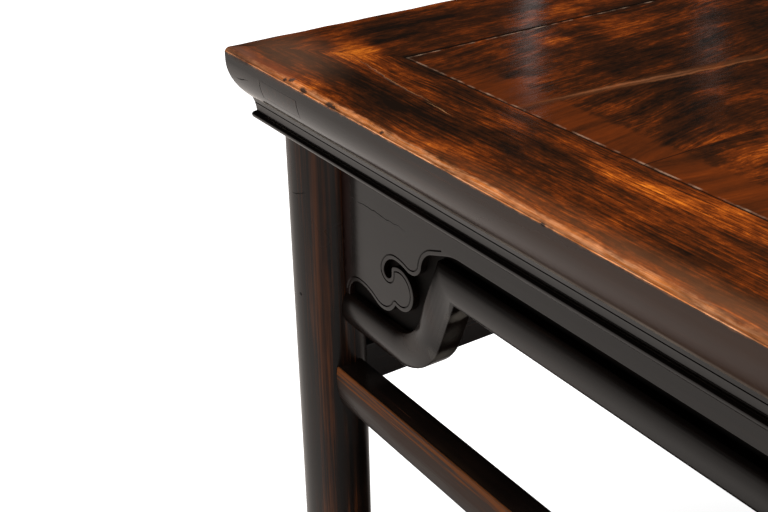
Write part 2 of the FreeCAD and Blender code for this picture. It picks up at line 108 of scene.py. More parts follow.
# Floor and soft light of a plain studio
studio = {
    "floor": "7c7a78",
    "floorSize": 16,  # metres
    "floorDrop": 0.5,  # mm under the feet
    "floorRough": 0.9,
    "floorShine": 0.1,
    "floorGlow": 0.85,  # lifts the floor's own shadows towards white for the eye of the camera only
    "sweep": 0.62,  # even light of the paper round the table, which the lacquer mirrors
    "sweepTint": "fff3ea",
    "sweepFrom": (0.5, 1.1),  # metres from the middle, dark under the table
    "sweepTo": (2.8, 5.5),
    "sweepEnd": 0.15,  # share that is left far out
    "shade": (0.6, -1.1, 0.0),  # a dark place in that light, under the camera
    "shadeFrom": (0.45, 0.95),  # metres from its middle
    "world": 0.01,
    "worldTint": "fffdfa",
    "backdrop": 0.95,
    "lights": [
        # place mm, aim mm, size mm, watts
        ((650, -150, 2650), (0, 0, 700), (1900, 1900), 160),
        ((-3043, 2000, 1755), (-300, -290, 850), (45, 790), 0.05),  # tall soft strip, far left
        ((-2640, 2530, 1990), (-240, -200, 850), (60, 200), 0.009),
    ],
}
bpy.ops.mesh.primitive_plane_add(size=studio["floorSize"], location=(0, 0, -studio["floorDrop"] * mm))
floor = bpy.context.object
floor.name = "floor"
material, tree, shader = newMaterial("floorPaper")  # seamless studio paper: matt and almost white
shader.inputs["Base Color"].default_value = hexLinear(studio["floor"])
shader.inputs["Roughness"].default_value = studio["floorRough"]
shader.inputs["Specular IOR Level"].default_value = studio["floorShine"]
seen = addNode(tree, "LightPath", out="Is Camera Ray")
tint = addNode(tree, "Mix", {0: seen, 6: hexLinear(studio["sweepTint"]), 7: hexLinear("ffffff")}, **colourMix)
tree.links.new(tint, shader.inputs["Emission Color"])
spread = addNode(tree, "TexCoord", out="Object")
away = addNode(tree, "VectorMath", {0: spread}, out="Value", operation="LENGTH")
start, end = studio["sweepFrom"]
sweep = addNode(tree, "MapRange", {"Value": away, "From Min": start, "From Max": end, "To Max": studio["sweep"]})
start, end = studio["sweepTo"]
ends = {"From Min": start, "From Max": end, "To Min": 1.0, "To Max": studio["sweepEnd"]}
fade = addNode(tree, "MapRange", {"Value": away, **ends})
away = addNode(tree, "VectorMath", {0: spread, 1: studio["shade"]}, out="Value", operation="DISTANCE")
start, end = studio["shadeFrom"]
shade = addNode(tree, "MapRange", {"Value": away, "From Min": start, "From Max": end})
sweep = addNode(tree, "Math", {0: sweep, 1: fade}, operation="MULTIPLY")
sweep = addNode(tree, "Math", {0: sweep, 1: shade}, operation="MULTIPLY")
glow = addNode(tree, "Math", {0: seen, 1: studio["floorGlow"], 2: sweep}, operation="MULTIPLY_ADD")
tree.links.new(glow, shader.inputs["Emission Strength"])
floor.data.materials.append(material)

scene.world = bpy.data.worlds.new("studio")
scene.world.use_nodes = True
tree = scene.world.node_tree
tree.nodes["Background"].inputs["Color"].default_value = hexLinear(studio["worldTint"])
seen = addNode(tree, "LightPath", out="Is Camera Ray")
backdrop = addNode(tree, "Math", {0: seen, 1: studio["backdrop"], 2: studio["world"]}, operation="MULTIPLY_ADD")
tree.links.new(backdrop, tree.nodes["Background"].inputs["Strength"])
for place, aim, size, watts in studio["lights"]:
    start = Vector(place) * mm
    facing = (Vector(aim) * mm - start).to_track_quat("-Z", "Y").to_euler()
    bpy.ops.object.light_add(type="AREA", location=start, rotation=facing)
    lamp = bpy.context.object.data
    lamp.shape = "RECTANGLE"
    lamp.size, lamp.size_y = size[0] * mm, size[1] * mm
    lamp.energy = watts
scene.view_settings.view_transform = "Standard"
print("studio lit")


def grainNoise(tree, coords, size, detail, rough=0.6):  # noise drawn out along the grain, mm along and across
    scale = (1000 / size[0], 1000 / size[1], 1000 / size[1])
    drawn = addNode(tree, "Mapping", {"Vector": coords, "Scale": scale})
    return addNode(tree, "TexNoise", {"Vector": drawn, "Scale": 1.0, "Detail": detail, "Roughness": rough})


def addedUp(tree, base, *parts):  # a base plus patterns times their weights
    for pattern, weight in parts:
        base = addNode(tree, "Math", {0: pattern, 1: weight, 2: base}, operation="MULTIPLY_ADD")
    return base


def ruffled(tree, coords, size, reach):  # coordinates pushed about, so that spots get uneven outlines, mm
    push = addNode(tree, "TexNoise", {"Vector": coords, "Scale": 1000 / size, "Detail": 4.0}, out="Color")
    push = addNode(tree, "VectorMath", {0: push, 1: (0.5, 0.5, 0.5)}, operation="SUBTRACT")
    return addNode(tree, "VectorMath", {0: push, 1: [reach * mm] * 3, 2: coords}, operation="MULTIPLY_ADD")


def spotMask(tree, coords, middle, turn, half, soft, share):  # middle mm, turn about y and z, half sizes mm
    turn = [0] + [math.radians(v) for v in turn]
    spot = addNode(tree, "VectorMath", {0: coords, 1: [v * mm for v in middle]}, operation="SUBTRACT")
    spot = addNode(tree, "VectorRotate", {"Vector": spot, "Rotation": turn}, rotation_type="EULER_XYZ")
    spot = addNode(tree, "VectorMath", {0: spot, 1: [1000 / v for v in half]}, operation="MULTIPLY")
    spot = addNode(tree, "VectorMath", {0: spot}, out="Value", operation="LENGTH")
    ends = {"From Min": 1 + soft, "From Max": 1 - soft, "To Max": share}
    return addNode(tree, "MapRange", {"Value": spot, **ends}, **smooth)


# Cracks, chips and rubbed spots: dull as well as of another colour
damage = {
    "ruffles": [(28, 7), (5, 3)],  # mm, size and reach of the waves in their outlines
    "rough": 0.8,
}


def addMarks(tree, coords, colour, rough, marks):
    for size, reach in damage["ruffles"]:
        coords = ruffled(tree, coords, size, reach)
    for middle, turn, half, soft, share, code in marks:
        spot = spotMask(tree, coords, middle, turn, half, soft, share)
        colour = addNode(tree, "Mix", {0: spot, 6: colour, 7: hexLinear(code)}, **colourMix)
        rough = addNode(tree, "Mix", {0: spot, 2: rough, 3: damage["rough"]})
    return colour, rough


# Dark lacquer brushed thin over wood: near black, brown where it is rubbed through, a satin sheen
lacquer = {
    "ramp": [(0.34, "120d0b"), (0.52, "1e1612"), (0.64, "38231a"), (0.80, "7d4a28")],
    "streak": (150, 4.5),  # mm along and across the grain
    "patch": 110,
    "mix": (-0.24, 0.8, 0.5),  # tone to start from, weights of streaks and patches
    "ruffle": (40, 8),  # mm, waves in the outlines of browner places
    "spotSoft": 0.7,
    "rough": (0.13, 0.22),
    "bump": (0.18, 0.4),  # strength, and height in mm
    "ior": 1.45,
}


def lacquerTone(tree, grain, brown, look=lacquer, rubbed=()):  # colour and unevenness of the dark lacquer
    base, streakWeight, patchWeight = look["mix"]
    streak = grainNoise(tree, grain, look["streak"], 4.0)
    patch = addNode(tree, "TexNoise", {"Vector": grain, "Scale": 1000 / look["patch"], "Detail": 3.0})
    tone = addedUp(tree, brown + base, (streak, streakWeight), (patch, patchWeight), *rubbed)
    colour = addNode(tree, "ValToRGB", {"Fac": tone}, stops=look["ramp"])
    colour.node.color_ramp.interpolation = "B_SPLINE"
    return colour, streak, patch


def makeLacquer(name, way, shift, brown, look=lacquer, ridge=None, marks=(), figure=()):
    material, tree, shader = newMaterial(name)
    add = partial(addNode, tree)
    coords = add("TexCoord", out="Object")
    way = [math.radians(v) for v in way]
    grain = add("Mapping", {"Vector": coords, "Rotation": way, "Location": shift})
    soft = ruffled(tree, coords, *look["ruffle"])
    rubbed = [
        (spotMask(tree, soft, middle, (0, bow), half, look["spotSoft"], 1.0), amount)
        for middle, bow, half, amount in figure
    ]
    colour, streak, patch = lacquerTone(tree, grain, brown, look, rubbed)
    low, high = look["rough"]
    rough = add("MapRange", {"Value": patch, **noiseSpan, "To Min": low, "To Max": high}, **smooth)
    if ridge:  # rubbed to bare wood by feet: a line along the upper front edge, streaks under it
        part = add("SeparateXYZ", {0: coords}).node
        byStreak, byPatch = ridge["ragged"]
        level = -(byStreak + byPatch) / 2  # so that the rub keeps its height on average
        height = addedUp(tree, level, (part.outputs[2], 1000), (streak, byStreak), (patch, byPatch))
        across = add("Math", {0: part.outputs[0]}, operation="ABSOLUTE")
        along = add("Math", {0: part.outputs[1]}, operation="ABSOLUTE")
        reach = add("Math", {0: across, 1: along}, operation="MAXIMUM")
        start, end = [v * mm for v in ridge["front"]]
        front = add("MapRange", {"Value": reach, "From Min": start, "From Max": end})
        for low, high, share, code in ridge["rubs"]:
            rub = add("MapRange", {"Value": height, "From Min": low, "From Max": high, "To Max": share}, **smooth)
            rub = add("Math", {0: rub, 1: front}, operation="MULTIPLY")
            colour = add("Mix", {0: rub, 6: colour, 7: hexLinear(code)}, **colourMix)
            rough = add("Mix", {0: rub, 2: rough, 3: ridge["rough"]})
    colour, rough = addMarks(tree, coords, colour, rough, marks)
    strength, lift = look["bump"]
    bump = add("Bump", {"Height": streak, "Strength": strength, "Distance": lift * mm})
    feedShader(tree, shader, colour, rough, bump)
    shader.inputs["IOR"].default_value = look["ior"]
    return material


# Wood with no polish, bare or in painted shade: matt, with fine lines of grain
mattWood = {
    "mix": (-0.1, 0.7, 0.5),  # tone to start from, weights of streaks and patches
    "uneven": 0.1,  # of the roughness
    "bump": (0.3, 0.5),  # strength, and height in mm
}


def makeMattWood(name, look, way, shift):
    material, tree, shader = newMaterial(name)
    add = partial(addNode, tree)
    coords = add("TexCoord", out="Object")
    way = [math.radians(v) for v in way]
    grain = add("Mapping", {"Vector": coords, "Rotation": way, "Location": shift})
    base, streakWeight, patchWeight = mattWood["mix"]
    streak = grainNoise(tree, grain, look["streak"], 5.0, 0.65)
    patch = add("TexNoise", {"Vector": grain, "Scale": 1000 / look["patch"], "Detail": 3.0})
    tone = addedUp(tree, base, (streak, streakWeight), (patch, patchWeight))
    colour = add("ValToRGB", {"Fac": tone}, stops=look["ramp"])
    low, high = look["rough"] - mattWood["uneven"], look["rough"] + mattWood["uneven"]
    rough = add("MapRange", {"Value": streak, "To Min": low, "To Max": high})
    strength, lift = mattWood["bump"]
    bump = add("Bump", {"Height": streak, "Strength": strength, "Distance": lift * mm})
    feedShader(tree, shader, colour, rough, bump)
    shader.inputs["Specular IOR Level"].default_value = look["specular"]
    return material


paintedShadeLook = {  # painted shade in the sunk ground and on backs, almost black
    "ramp": [(0.3, "070504"), (0.5, "0e0a08"), (0.75, "1d1511")],
    "streak": (60, 3.0),
    "patch": 50,
    "rough": 0.7,
    "specular": 0.15,
}
bareLook = {  # elm left bare where nobody looks, gone brown with age
    "ramp": [(0.3, "2b1d12"), (0.5, "463122"), (0.75, "6b5039")],
    "streak": (120, 2.5),
    "patch": 90,
    "rough": 0.78,
    "specular": 0.3,
}
# The first is painted shade: near-black matt wood for the sunk ground and the backs
# Last comes the stretch of the figure that shows
paintedShade = makeMattWood("paintedShadeGround", paintedShadeLook, grainWay["across"], (0.2, 0.5, 0.1))
bareAcross = makeMattWood("bareElmAcross", bareLook, grainWay["across"], (0.1, 0.3, 0.2))
bareAlong = makeMattWood("bareElmAlong", bareLook, grainWay["along"], (0.4, 0.1, 0.3))

# Old elm under worn, polished lacquer: golden brown with soft dark blotches, streaks and specks, glossy but not flat
topLook = {
    "ramp": [
        (0.20, "0e0704"),
        (0.38, "261005"),
        (0.50, "461c06"),
        (0.62, "6e320b"),
        (0.74, "995113"),
        (0.90, "bd7832"),
    ],
    "patterns": {
        # mm along and across the grain, detail, roughness
        "blotch": ((85, 34), 6.0, 0.66),
        "mottle": ((9, 3.2), 5.0, 0.7),
        "streak": ((80, 2.0), 5.0, 0.65),
        "band": ((320, 15), 3.0, 0.6),
        "fibre": ((30, 1.0), 2.0, 0.6),
        "pore": ((13, 1.7), 4.0, 0.7),  # drawn coarser than it is so that it shows
    },
    "wander": 6.0,  # slow bends of the grain per metre
    "ragged": 6.25,  # mm, unevenness of worn edges
    "base": -0.53,  # tone to start from
    "weights": {"blotch": 0.95, "mottle": 0.42, "band": 0.3, "fibre": 0.15},
    "ruffle": (40, 26),  # mm, waves in the outlines of lighter and darker places
    "spotSoft": 0.6,
    "golden": (0.46, 0.62),  # tones from which pores show
    "pores": (0.55, 0.66, 0.2),  # from and to in their noise, and how much darker
    "rough": (0.15, 0.08),
    "lift": {"fibre": 0.3, "streak": 0.4, "blotch": 1.2},
    "bump": (0.15, 0.6),  # strength, and height in mm
    "ior": 1.45,
    "half": 480,  # mm, out to the edge
    "seam": 124.1,  # mm, out to the joints between the boards
}
grooveLook = {  # round the panel: a dark gap, its inner edge worn and pale with wax and a painted highlight in patches, with some polish left in it
    "place": (373, 386),  # mm, out to it across and along
    "ragged": 0.8,  # mm
    "gap": "0b0705",
    "gapWidth": (1.6, 0.7, 0.9),  # mm to its sides, from and to, and share
    # pale wax and a painted highlight on the rim beside the gap
    "waxAndHighlight": "a98f78",
    "waxSpot": 11,  # mm, size of its patches
    "waxFrom": (0.40, 0.72),
    "rim": (1.6, 1.8, 0.4, 0.3),  # mm in from the gap, half width from and to, and share of the wax and painted highlight
    "unpolished": (2.2, 1.4),  # mm to its sides, from and to
    "shine": (0.5, 0.1),  # with polish and without
}
boardLook = {  # ends of the boards, polished plain by sleeves, and old dirt in the joints
    "smoothed": 352,  # mm, plain from here out to the front groove
    "fade": 5,
    "sway": 16,  # mm by which blotches move that line
    "share": 0.8,
    "across": (345, 285),  # mm, plain only inside of this
    "plain": (0.31, 0.3),  # tone, and weight of the bands
    "seam": (0.8, 0.3, 0.7),  # mm to its sides, from and to, and share
}
edgeLook = {  # rails: rubbed lighter by hands, bare along the arris with painted highlight streaks, dark lacquer on the moulding below it with a painted highlight along its lower edge
    "handled": (40, 4, 0.08),  # mm in from the edge, from and to, and how much lighter
    "rub": (50, 6),  # mm along and across the grain
    "worn": ("bc6c32", "d49468"),  # bare wood, and the pale pink of painted highlight streaks on it
    "highlightFrom": (0.35, 0.65),
    "bareSway": (3.0, 11.0),  # mm by which ragged spots and rubs move the bare line
    "bareFrom": (2.0, 9.0),
    "brown": 0.05,
    "lacquerSway": (2.5, 4.0),
    "lacquerShift": -3.2,
    "lacquerFrom": (846.0, 844.0),  # mm, height
    "lacquerRough": 0.11,
    "lowerEdgeHighlight": "cfc8bd",  # painted highlight, pale, along the lower edge of the moulding
    "lowerHighlightFrom": (816.8, 814.2, 0.75),  # mm, height, and share
    "lowerHighlightUneven": (0.3, 0.6, 0.3),  # from and to in the blotches, and least share
}


def makeTopWood(name, turn, shift, swirl, streaks, figure=(), marks=(), edge=False):
    material, tree, shader = newMaterial(name)
    add = partial(addNode, tree)
    coords = add("TexCoord", out="Object")
    grain = add("Mapping", {"Vector": coords, "Rotation": (0, 0, math.radians(turn)), "Location": shift})
    wander = add("TexNoise", {"Vector": grain, "Scale": topLook["wander"], "Detail": 2.0}, out="Color")
    bent = add("VectorMath", {0: wander, 1: (0, swirl, 0), 2: grain}, operation="MULTIPLY_ADD")
    patterns = [grainNoise(tree, bent, *form) for form in topLook["patterns"].values()]
    blotch, mottle, streak, band, fibre, pore = patterns
    ragged = add("TexNoise", {"Vector": coords, "Scale": 1000 / topLook["ragged"], "Detail": 4.0})
    weights = topLook["weights"]
    base = topLook["base"] - 0.5 * streaks  # streaks darken as much as they lighten
    tone = addedUp(tree, base, (blotch, weights["blotch"]), (mottle, weights["mottle"]), (streak, streaks))
    tone = addedUp(tree, tone, (band, weights["band"]), (fibre, weights["fibre"]))
    soft = ruffled(tree, coords, *topLook["ruffle"])
    for middle, bow, half, amount in figure:  # large lighter and darker places
        spot = spotMask(tree, soft, middle, (0, bow), half, topLook["spotSoft"], amount)
        tone = add("Math", {0: tone, 1: spot}, operation="ADD")
    part = add("SeparateXYZ", {0: coords}).node
    across = add("Math", {0: part.outputs[0]}, operation="ABSOLUTE")
    along = add("Math", {0: part.outputs[1]}, operation="ABSOLUTE")
    if edge:
        reach = add("Math", {0: across, 1: along}, operation="MAXIMUM")
        reach = add("Math", {0: reach, 1: 1000}, operation="MULTIPLY")  # mm from the middle
        start, end, share = edgeLook["handled"]
        ends = {"From Min": topLook["half"] - start, "From Max": topLook["half"] - end, "To Max": share}
        handled = add("MapRange", {"Value": reach, **ends}, **smooth)
        tone = add("Math", {0: tone, 1: handled}, operation="ADD")
    else:
        sway = boardLook["sway"]
        ending = addedUp(tree, -sway / 2, (along, 1000), (blotch, sway))
        start, end = boardLook["smoothed"] - boardLook["fade"], boardLook["smoothed"] + boardLook["fade"]
        ends = {"From Min": start, "From Max": end, "To Max": boardLook["share"]}
        ending = add("MapRange", {"Value": ending, **ends}, **smooth)
        start, end = [v * mm for v in boardLook["across"]]
        inner = add("MapRange", {"Value": across, "From Min": start, "From Max": end}, **smooth)
        ending = add("Math", {0: ending, 1: inner}, operation="MULTIPLY")
        level, bandWeight = boardLook["plain"]
        plain = addedUp(tree, level, (band, bandWeight))
        tone = add("Mix", {0: ending, 2: tone, 3: plain})
    start, end = topLook["golden"]
    golden = add("MapRange", {"Value": tone, "From Min": start, "From Max": end}, **smooth)
    start, end, darker = topLook["pores"]
    speck = add("MapRange", {"Value": pore, "From Min": start, "From Max": end, "To Max": darker}, **smooth)
    speck = add("Math", {0: speck, 1: golden}, operation="MULTIPLY")
    tone = add("Math", {0: tone, 1: speck}, operation="SUBTRACT")
    colour = add("ValToRGB", {"Fac": tone}, stops=topLook["ramp"])
    low, high = topLook["rough"]
    rough = add("MapRange", {"Value": blotch, **noiseSpan, "To Min": low, "To Max": high}, **smooth)

    fromX = add("Math", {0: across, 1: grooveLook["place"][0] * mm}, operation="SUBTRACT")
    fromY = add("Math", {0: along, 1: grooveLook["place"][1] * mm}, operation="SUBTRACT")
    groove = add("Math", {0: fromX, 1: fromY}, operation="MAXIMUM")
    groove = addedUp(tree, -grooveLook["ragged"] / 2, (groove, 1000), (ragged, grooveLook["ragged"]))
    aside = add("Math", {0: groove}, operation="ABSOLUTE")
    patchy = add("TexNoise", {"Vector": coords, "Scale": 1000 / grooveLook["waxSpot"], "Detail": 6.0})
    start, end = grooveLook["waxFrom"]
    patchy = add("MapRange", {"Value": patchy, "From Min": start, "From Max": end}, **smooth)
    inset, start, end, share = grooveLook["rim"]
    rim = add("Math", {0: groove, 1: inset}, operation="ADD")
    rim = add("Math", {0: rim}, operation="ABSOLUTE")
    rim = add("MapRange", {"Value": rim, "From Min": start, "From Max": end, "To Max": share}, **smooth)
    rim = add("Math", {0: rim, 1: patchy}, operation="MULTIPLY")
    # the rim takes pale wax and a painted highlight, in patches
    colour = add("Mix", {0: rim, 6: colour, 7: hexLinear(grooveLook["waxAndHighlight"])}, **colourMix)
    start, end, share = grooveLook["gapWidth"]
    gap = add("MapRange", {"Value": aside, "From Min": start, "From Max": end, "To Max": share}, **smooth)
    colour = add("Mix", {0: gap, 6: colour, 7: hexLinear(grooveLook["gap"])}, **colourMix)
    start, end = grooveLook["unpolished"]
    dry = add("MapRange", {"Value": aside, "From Min": start, "From Max": end}, **smooth)
    clean = add("Math", {0: 1.0, 1: patchy}, operation="SUBTRACT")
    dry = add("Math", {0: dry, 1: clean}, operation="MULTIPLY")
    polished, unpolished = grooveLook["shine"]
    shine = add("Mix", {0: dry, 2: polished, 3: unpolished})  # no polish in it, so no light line there
    tree.links.new(shine, shader.inputs["Specular IOR Level"])

    if edge:
        rubbed = grainNoise(tree, grain, edgeLook["rub"], 5.0, 0.7)
        byRagged, byRub = edgeLook["bareSway"]
        bare = addedUp(tree, reach, (ragged, byRagged), (rubbed, byRub))
        start, end = [topLook["half"] + v for v in edgeLook["bareFrom"]]
        bare = add("MapRange", {"Value": bare, "From Min": start, "From Max": end}, **smooth)
        # painted highlight: pale pink streaks on the bare arris
        start, end = edgeLook["highlightFrom"]
        highlightMask = add("MapRange", {"Value": fibre, "From Min": start, "From Max": end}, **smooth)
        wood, highlightPink = [hexLinear(code) for code in edgeLook["worn"]]
        worn = add("Mix", {0: highlightMask, 6: wood, 7: highlightPink}, **colourMix)
        colour = add("Mix", {0: bare, 6: colour, 7: worn}, **colourMix)
        dark = lacquerTone(tree, grain, edgeLook["brown"])[0]
        byRagged, byRub = edgeLook["lacquerSway"]
        shifted = addedUp(tree, edgeLook["lacquerShift"], (part.outputs[2], 1000))
        height = addedUp(tree, shifted, (ragged, byRagged), (rubbed, byRub))
        start, end = edgeLook["lacquerFrom"]
        below = add("MapRange", {"Value": height, "From Min": start, "From Max": end}, **smooth)
        colour = add("Mix", {0: below, 6: colour, 7: dark}, **colourMix)
        rough = add("Mix", {0: below, 2: rough, 3: edgeLook["lacquerRough"]})
        # painted highlight along the lower edge of the moulding, uneven with the blotches
        start, end, share = edgeLook["lowerHighlightFrom"]
        ends = {"From Min": start * mm, "From Max": end * mm, "To Max": share}
        edgeHighlight = add("MapRange", {"Value": part.outputs[2], **ends}, **smooth)
        start, end, least = edgeLook["lowerHighlightUneven"]
        uneven = add("MapRange", {"Value": blotch, "From Min": start, "From Max": end, "To Min": least}, **smooth)
        edgeHighlight = add("Math", {0: edgeHighlight, 1: uneven}, operation="MULTIPLY")
        colour = add("Mix", {0: edgeHighlight, 6: colour, 7: hexLinear(edgeLook["lowerEdgeHighlight"])}, **colourMix)
    else:
        start, end, share = boardLook["seam"]
        ends = {"From Min": start * mm, "From Max": end * mm, "To Max": share}
        seam = add("Math", {0: across, 1: topLook["seam"] * mm}, operation="SUBTRACT")
        seam = add("Math", {0: seam}, operation="ABSOLUTE")
        seam = add("MapRange", {"Value": seam, **ends}, **smooth)
        colour = add("Mix", {0: seam, 6: colour, 7: hexLinear(grooveLook["gap"])}, **colourMix)
    colour, rough = addMarks(tree, coords, colour, rough, marks)
    lifts = topLook["lift"]
    lift = addedUp(tree, 0.0, (fibre, lifts["fibre"]), (streak, lifts["streak"]), (blotch, lifts["blotch"]))
    strength, rise = topLook["bump"]
    bump = add("Bump", {"Height": lift, "Strength": strength, "Distance": rise * mm})
    feedShader(tree, shader, colour, rough, bump)
    shader.inputs["IOR"].default_value = topLook["ior"]
    return material


# How every piece is opened, softened and finished
finishing = {
    "merge": 0.01,  # mm
    "flatten": 0.5,  # degrees, facets flatter than this join
    "sharp": 35,  # degrees, edges sharper than this are broken
    "shade": 32,  # degrees, faces meeting flatter than this shade as one
    "facing": 0.99,  # share of its normal with which a face looks straight one way
    "under": -0.9,  # undersides, left bare
    "back": -0.5,  # backs, in painted shade
}


def openCopy(node, name):  # an own, merged copy of a solid's mesh, ready to be worked on
    bpy.ops.object.select_all(action="DESELECT")
    piece = bpy.data.objects.new(name, nodes[node].data.copy())
    scene.collection.objects.link(piece)
    piece.select_set(True)
    bpy.context.view_layer.objects.active = piece
    bpy.ops.object.mode_set(mode="EDIT")
    bpy.ops.mesh.select_all(action="SELECT")
    bpy.ops.mesh.remove_doubles(threshold=finishing["merge"] * mm)
    bpy.ops.mesh.customdata_custom_splitnormals_clear()
    bpy.ops.mesh.dissolve_limited(angle_limit=math.radians(finishing["flatten"]))
    bpy.ops.mesh.select_all(action="DESELECT")
    bpy.ops.object.mode_set(mode="OBJECT")
    return piece


def softenEdges(piece, width, chosen=None):  # breaks the sharp arrises as a hand plane does
    bpy.ops.object.mode_set(mode="EDIT")
    bpy.ops.mesh.select_mode(type="EDGE")
    bpy.ops.mesh.select_all(action="DESELECT")
    bpy.ops.mesh.edges_select_sharp(sharpness=math.radians(finishing["sharp"]))
    bpy.ops.object.mode_set(mode="OBJECT")
    for edge in piece.data.edges:
        if chosen and not all(chosen(piece.data.vertices[v].co) for v in edge.vertices):
            edge.select = False
    bpy.ops.object.mode_set(mode="EDIT")
    bpy.ops.mesh.bevel(offset=width * mm, segments=2, affect="EDGES", clamp_overlap=False)
    bpy.ops.mesh.select_all(action="DESELECT")
    bpy.ops.object.mode_set(mode="OBJECT")


# Gives the piece its finish, or two, and its place among the solids
def settle(piece, node, finish, second=None, isSecond=None):
    piece.data.materials.clear()
    piece.data.materials.append(finish)
    if second:
        piece.data.materials.append(second)
    for face in piece.data.polygons:
        face.material_index = int(second is not None and isSecond(face))
    bpy.ops.object.mode_set(mode="EDIT")
    bpy.ops.mesh.select_all(action="SELECT")
    bpy.ops.mesh.vert_connect_concave()  # no face bridges a hollow of its own outline
    bpy.ops.mesh.select_all(action="DESELECT")
    bpy.ops.object.mode_set(mode="OBJECT")
    bpy.ops.object.shade_smooth_by_angle(angle=math.radians(finishing["shade"]))
    even = piece.modifiers.new("even", "WEIGHTED_NORMAL")  # large faces stay flat to the eye beside soft edges
    even.keep_sharp = True
    bpy.ops.object.modifier_apply(modifier="even")
    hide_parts(node)
    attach(piece, "root")


# Rails of the top: the rounded outer arris is worn and a little uneven
rails = {
    "soften": 0.5,
    "top": 849,  # mm, higher lies the top face
    "flat": 12,  # mm in from the edge, where the flat of the top ends
    "edge": (14, 800, 700),  # mm in from the edge, from this height, longer than this: lines along the moulding
    "cuts": 160,  # of those lines
    "arris": (9, 845.5),  # mm in from the edge, from this height: what wears
    "wear": 1.0,
    "dent": 26,
    "curve": (443, 838),  # mm, middle of the moulding's curve: out and up
    "moulding": 464,  # mm, farther out lies the moulding
    "upright": 0.6,  # least lean of its faces outwards
    "straight": 0.2,  # most turn of its faces aside
    "across": (0.3, 0.02, 0.35),  # which stretch of the figure shows
    "along": (0.1, 0.04, 0.30),
    "swirl": 0.02,
    "streaks": (0.7, 0.3),  # front and back rails, side rails
    "figure": [
        # middle mm, turn about z, half sizes mm, lighter or darker
        ((-430, -290, 850), 0, (60, 110, 9), -0.02),
        ((-395, -190, 850), 0, (22, 45, 9), 0.10),
        ((-413, -403, 850), 20, (34, 17, 9), 0.22),  # flames at the mitre
        ((-340, -404, 850), 0, (30, 9, 9), 0.10),
        ((-60, -402, 850), 0, (100, 18, 9), 0.19),
        ((-428, -461, 850), 10, (26, 5, 9), -0.14),
        ((-364, -445, 850), 12, (26, 10, 9), -0.12),
        ((-414, -335, 850), 0, (26, 50, 9), -0.05),
        ((-190, -420, 850), 0, (75, 12, 9), -0.14),
        ((-290, -440, 850), 0, (60, 13, 9), -0.15),
        ((-230, -432, 850), 0, (45, 14, 9), -0.07),
    ],
    "dulled": [((-430, -452, 850), (0, 12), (52, 30, 9), 0.8, 0.15, "86624c")],  # the corner gone grey
    "marks": [
        # middle mm, turn about y and z, half sizes mm, softness, share, colour
        ((-336, -421.4, 850), (0, 5.1), (52, 0.5, 4), 0.4, 0.18, "a8794f"),  # a fine split, its far lip lit
        ((-338, -422.3, 850), (0, 5.1), (54, 0.5, 4), 0.4, 0.7, "120a06"),
        ((-270, -429, 850), (0, 3), (14, 0.5, 4), 0.4, 0.25, "a8794f"),
        ((-460, -478, 848), (0, 0), (24, 9, 5), 0.7, 0.6, "4a2a1a"),  # the arris still dark by the corner, then red
        ((-408, -478, 848), (0, 0), (34, 8, 4), 0.8, 0.35, "7a3515"),
        ((-456, -474, 829.5), (9, 0), (14, 8, 0.5), 0.3, 0.9, "0a0705"),  # cracks in the lacquer of the moulding
        ((-372, -476, 833.5), (93, 0), (6, 6, 0.5), 0.3, 0.8, "0a0705"),
        ((-424, -476, 831), (-60, 0), (7, 6, 0.4), 0.3, 0.35, "b9b0a6"),
        ((60, -474, 826), (0, 0), (260, 16, 26), 0.8, 0.4, "754a2e"),  # browner towards the right
    ],
    "chips": [  # along and up mm, size
        (-328, 847.5, 2.4),
        (-322, 846.5, 1.8),
        (-362, 847, 2.3),
        (-381, 848, 1.6),
        (-388, 847, 1.3),
        (-263, 847, 1.2),
        (-103, 846, 1.2),
    ],
    "chipForm": (1.9, 8.0, 0.7),  # half sizes: along, mm deep, up. The first and last are times the size
    "chipFace": -479.5,  # mm, where they lie
    "chipLook": (0.35, 0.9, "100805"),  # softness, share, colour
}
length, deep, tall = rails["chipForm"]
chipMarks = [
    ((x, rails["chipFace"], z), (0, 0), (length * size, deep, tall * size), *rails["chipLook"])
    for x, z, size in rails["chips"]
]
frontMarks = rails["dulled"] + rails["marks"] + chipMarks
swirl, (acrossStreaks, alongStreaks) = rails["swirl"], rails["streaks"]
railAcross = makeTopWood(
    "polishedElmFrontRail", 0, rails["across"], swirl, acrossStreaks, rails["figure"], frontMarks, edge=True
)
railAlong = makeTopWood(
    "polishedElmSideRail", 90, rails["along"], swirl, alongStreaks, rails["figure"], rails["dulled"], edge=True
)
